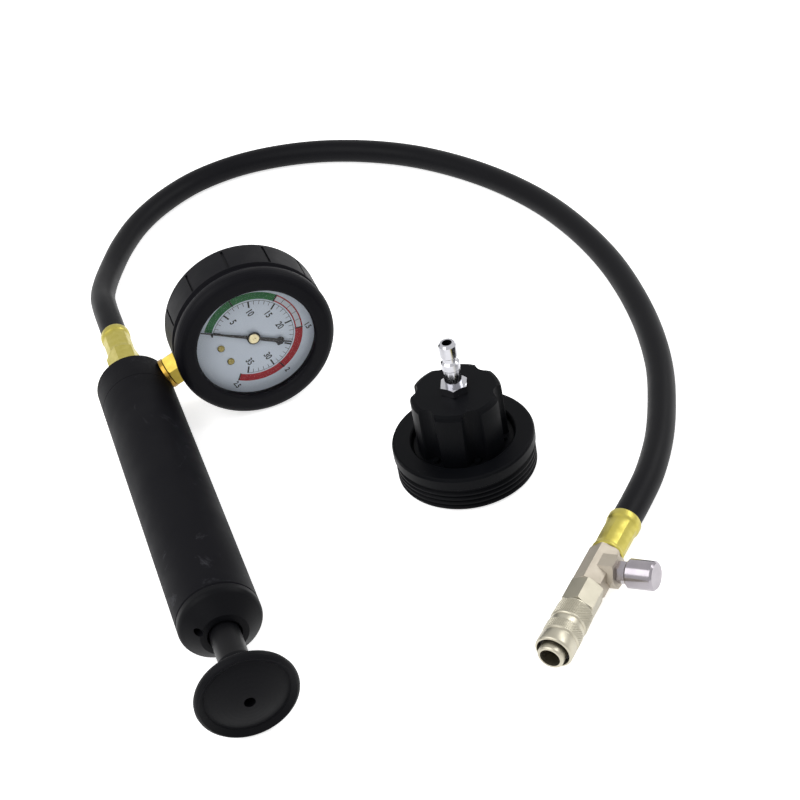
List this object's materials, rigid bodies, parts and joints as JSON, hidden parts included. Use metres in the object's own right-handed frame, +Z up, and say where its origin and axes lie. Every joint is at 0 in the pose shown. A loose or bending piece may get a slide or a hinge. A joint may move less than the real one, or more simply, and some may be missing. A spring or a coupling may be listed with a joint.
{
  "type": "radiator pressure tester",
  "caption": "Hand pump with a rubber-booted pressure gauge, a hose ending in a push-fit coupler with a relief button, and a threaded test cap with a nipple.",
  "frame": {"origin": "bottom centre of the box of the pump, gauge and test cap as they lie on the table, hose and coupler left out", "axes": "+Z up from the table, +Y along the pump from its knob to its hose end, +X from the pump to the test cap"},
  "size_m": [0.2668, 0.4467, 0.075],
  "materials": {
    "barrel_black": "satin black coating",
    "head_black": "satin black coating",
    "moulded_black": "semi-gloss moulded black",
    "rod_black": "smooth semi-gloss black",
    "natural_plastic": "natural",
    "seal_rubber": "smooth black",
    "boot_rubber": "matte black",
    "hose_rubber": "smooth matte black",
    "case_black": "matte black",
    "brass": "turned",
    "ferrule_brass": "pale plated",
    "copper_washer": "plain",
    "nickel": "nickel plated",
    "chrome": "bright plated",
    "steel": "bright",
    "dark_steel": "dark",
    "dial_face": "satin white",
    "pointer_black": "matte black",
    "lens": "clear",
    "cap_plastic": "smooth moulded black"
  },
  "bodies": {
    "root": {"pump_barrel": "barrel_black", "pump_head": "head_black", "head_seal": "seal_rubber", "end_cap": "moulded_black", "hose_adapter": "brass", "hose_nut": "brass", "hose_ferrule": "ferrule_brass", "hose": "hose_rubber", "check_spring": "steel", "gauge_boot": "boot_rubber", "gauge_case": "case_black", "gauge_stem": "brass", "stem_washer": "copper_washer", "gauge_bezel": "case_black", "gauge_lens": "lens", "gauge_dial": "dial_face", "dial_screws": "brass", "bourdon_tube": "brass", "movement_back_plate": "brass", "movement_front_plate": "brass", "hairspring": "brass", "coupler_ferrule": "ferrule_brass", "valve_block": "nickel", "relief_body": "chrome", "relief_spring": "steel", "coupler_body": "nickel", "coupler_seal": "seal_rubber", "sleeve_spring": "steel", "retaining_ring": "dark_steel", "poppet_spring": "steel"},
    "plunger": {"piston_rod": "rod_black", "piston": "natural_plastic", "piston_seal": "seal_rubber", "piston_screw": "steel", "knob": "moulded_black", "knob_screw": "dark_steel"},
    "sector": {"sector_gear": "brass"},
    "pointer": {"pinion_staff": "steel", "pointer": "pointer_black"},
    "tip_link": {"tip_link": "brass"},
    "relief_button": {"relief_button": "chrome", "relief_seal": "seal_rubber"},
    "coupler_sleeve": {"coupler_sleeve": "nickel"},
    "locking_ball_1": {"locking_ball_1": "steel"},
    "locking_ball_2": {"locking_ball_2": "steel"},
    "locking_ball_3": {"locking_ball_3": "steel"},
    "poppet": {"poppet": "brass"},
    "check_ball": {"check_ball": "steel"},
    "test_cap": {"test_cap": "cap_plastic", "cap_seal": "seal_rubber", "cap_nipple": "chrome"}
  },
  "joints": [
    {"name": "plunger_slide", "type": "slide", "parent": "root", "child": "plunger", "axis": [0, -0.9999, 0.0147], "range_m": [-0.018, 0.104]},
    {"name": "sector_turn", "type": "hinge", "parent": "root", "child": "sector", "pos_m": [-0.02504, 0.07401, 0.03219], "axis": [0, -0.9999, 0.0147], "range_deg": [0, 30], "stiffness_Nm_per_rad": 0.01, "springref_deg": -5.73},
    {"name": "pointer_turn", "type": "hinge", "parent": "root", "child": "pointer", "pos_m": [-0.0099, 0.07409, 0.03736], "axis": [0, 0.9999, -0.0147], "range_deg": [0, 270]},
    {"name": "link_swing", "type": "hinge", "parent": "sector", "child": "tip_link", "pos_m": [-0.03003, 0.07136, 0.02889], "axis": [0, 0.9999, -0.0147], "range_deg": [0, 30]},
    {"name": "button_press", "type": "slide", "parent": "root", "child": "relief_button", "axis": [-0.7002, 0.7002, -0.1392], "range_m": [0, 0.0025], "stiffness_N_per_m": 600, "springref_m": -0.002, "deforming": ["relief_spring"]},
    {"name": "sleeve_slide", "type": "slide", "parent": "root", "child": "coupler_sleeve", "axis": [-0.7071, -0.7071, 0], "range_m": [0, 0.003], "deforming": ["sleeve_spring"]},
    {"name": "ball_1_slide", "type": "slide", "parent": "root", "child": "locking_ball_1", "axis": [0.7002, -0.7002, 0.1392], "range_m": [0, 0.00091]},
    {"name": "ball_2_slide", "type": "slide", "parent": "root", "child": "locking_ball_2", "axis": [-0.4353, 0.4353, 0.788], "range_m": [0, 0.00091]},
    {"name": "ball_3_slide", "type": "slide", "parent": "root", "child": "locking_ball_3", "axis": [-0.2649, 0.2649, -0.9272], "range_m": [0, 0.00091]},
    {"name": "poppet_slide", "type": "slide", "parent": "root", "child": "poppet", "axis": [0.7071, 0.7071, 0], "range_m": [0, 0.003], "stiffness_N_per_m": 400, "springref_m": -0.003, "deforming": ["poppet_spring"]},
    {"name": "check_ball_lift", "type": "slide", "parent": "root", "child": "check_ball", "axis": [0, 0.9999, -0.0147], "range_m": [0, 0.0015], "stiffness_N_per_m": 50, "springref_m": -0.003, "deforming": ["check_spring"]},
    {"name": "cap_lift", "type": "slide", "parent": "root", "child": "test_cap", "axis": [0, 0, 1], "range_m": [0, 0.1]}
  ],
  "couplings": [
    {"joint": "pointer_turn", "follows": "sector_turn", "ratio": 9},
    {"joint": "link_swing", "follows": "sector_turn", "ratio": 1},
    {"joint": "ball_1_slide", "follows": "sleeve_slide", "ratio": 0.3},
    {"joint": "ball_2_slide", "follows": "sleeve_slide", "ratio": 0.3},
    {"joint": "ball_3_slide", "follows": "sleeve_slide", "ratio": 0.3}
  ]
}
